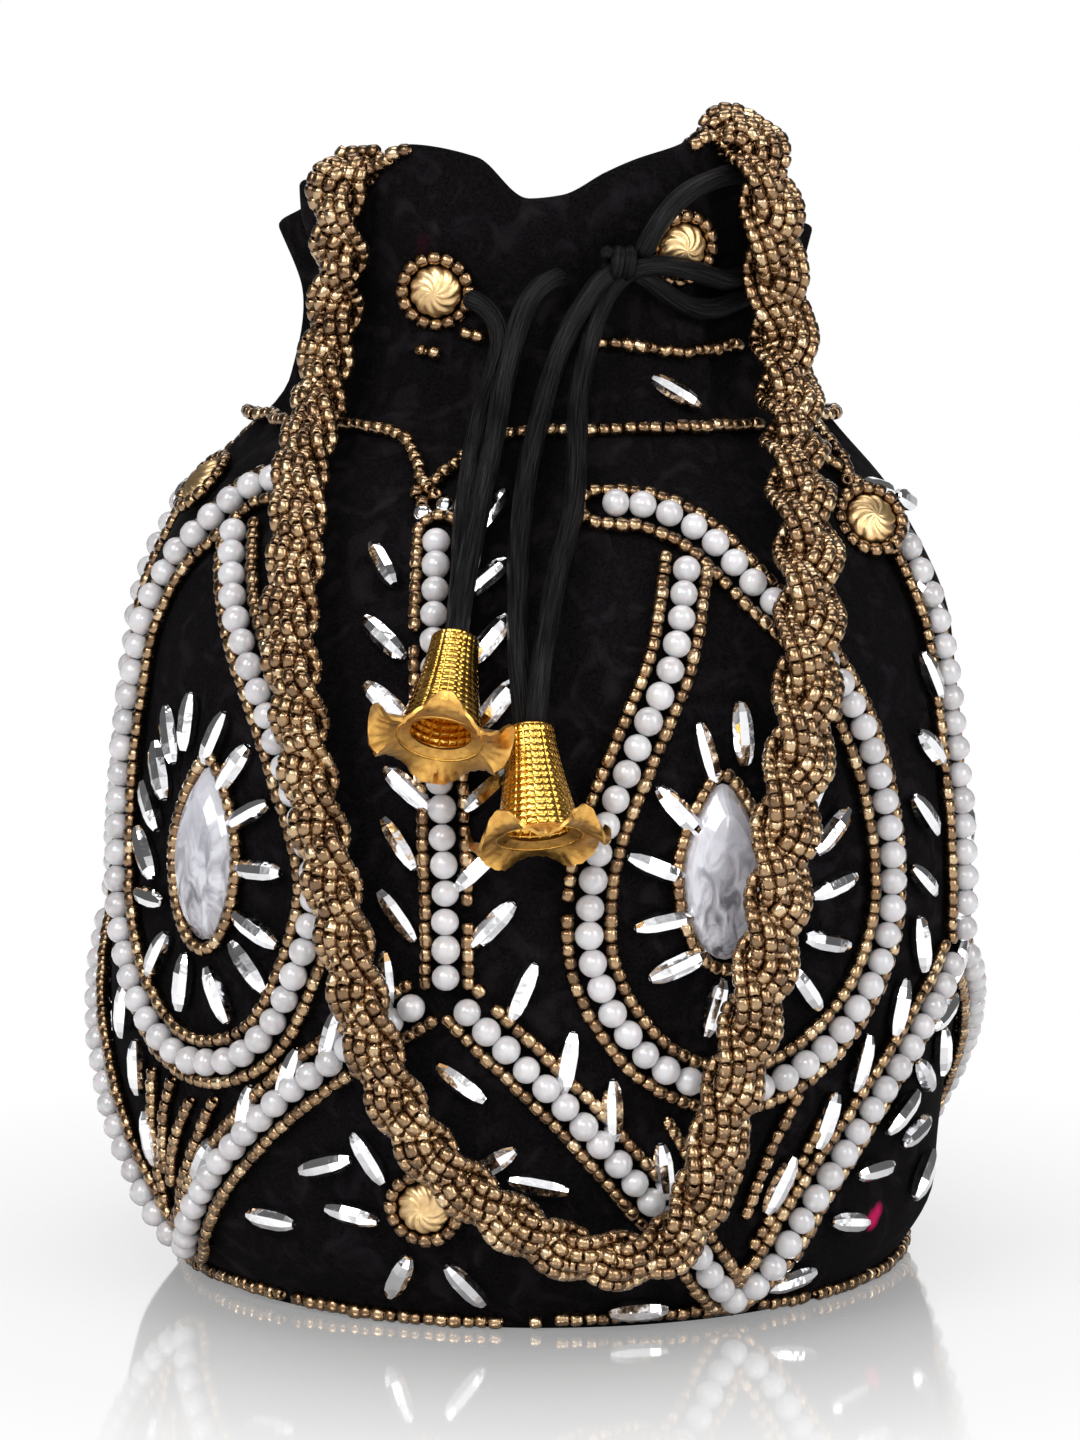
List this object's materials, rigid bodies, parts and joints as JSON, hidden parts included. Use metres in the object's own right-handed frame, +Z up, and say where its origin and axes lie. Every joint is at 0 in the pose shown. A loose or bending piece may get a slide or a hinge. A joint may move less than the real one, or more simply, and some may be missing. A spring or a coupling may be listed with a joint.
{
  "type": "potli bag",
  "caption": "Gathered drawstring pouch of black velvet with pearl and seed-bead embroidery, a plaited bead handle and bell-ended cords.",
  "frame": {"origin": "middle of the underside, on the surface that the bag stands on", "axes": "+Z up to the mouth, the side with the drawstrings and the handle faces -Y, +X to the right seen from the front"},
  "size_m": [0.1752, 0.1944, 0.2225],
  "materials": {
    "velvet": "black cut-pile velvet with faint maroon flecks",
    "lining_satin": "dark maroon satin",
    "pearl": "white pearl lustre",
    "seed_bead": "antique bronze metallic-lined seed beads",
    "silver_bead": "bright silver faceted beads",
    "stone": "clear to milky faceted drop",
    "button_gold": "satin gold",
    "bell_gold": "polished gold with a pressed grid",
    "cord_satin": "black satin braid"
  },
  "bodies": {
    "root": {"velvet_body": "velvet", "base_panel": "velvet", "lining": "lining_satin", "pearl_stripe_front": "pearl", "pearl_stripe_right": "pearl", "pearl_stripe_back": "pearl", "pearl_stripe_left": "pearl", "pearl_chevron_front_right": "pearl", "pearl_chevron_back_right": "pearl", "pearl_chevron_back_left": "pearl", "pearl_chevron_front_left": "pearl", "pearl_medallion_front_left": "pearl", "pearl_medallion_front_right": "pearl", "pearl_medallion_back_left": "pearl", "pearl_medallion_back_right": "pearl", "collar_bead_line": "seed_bead", "foot_bead_line": "seed_bead", "stone_rays_front_left": "silver_bead", "stone_rays_front_right": "silver_bead", "stone_rays_back_left": "silver_bead", "stone_rays_back_right": "silver_bead", "stone_front_left": "stone", "stone_front_right": "stone", "stone_back_left": "stone", "stone_back_right": "stone", "swirl_button_collar_left": "button_gold", "swirl_button_collar_right": "button_gold", "swirl_button_shoulder_right": "button_gold", "swirl_button_shoulder_left": "button_gold", "swirl_button_foot_front": "button_gold", "swirl_button_collar_back_left": "button_gold", "swirl_button_collar_back_right": "button_gold", "swirl_button_foot_back": "button_gold", "handle_strand_1": "seed_bead", "handle_strand_2": "seed_bead", "handle_strand_3": "seed_bead", "drawstring_left_outer": "cord_satin", "drawstring_left_inner": "cord_satin", "drawstring_right_outer": "cord_satin", "drawstring_right_inner": "cord_satin", "bow_loop": "cord_satin", "bow_return": "cord_satin", "bow_knot": "cord_satin", "bell_left": "bell_gold", "bell_right": "bell_gold"}
  },
  "joints": []
}
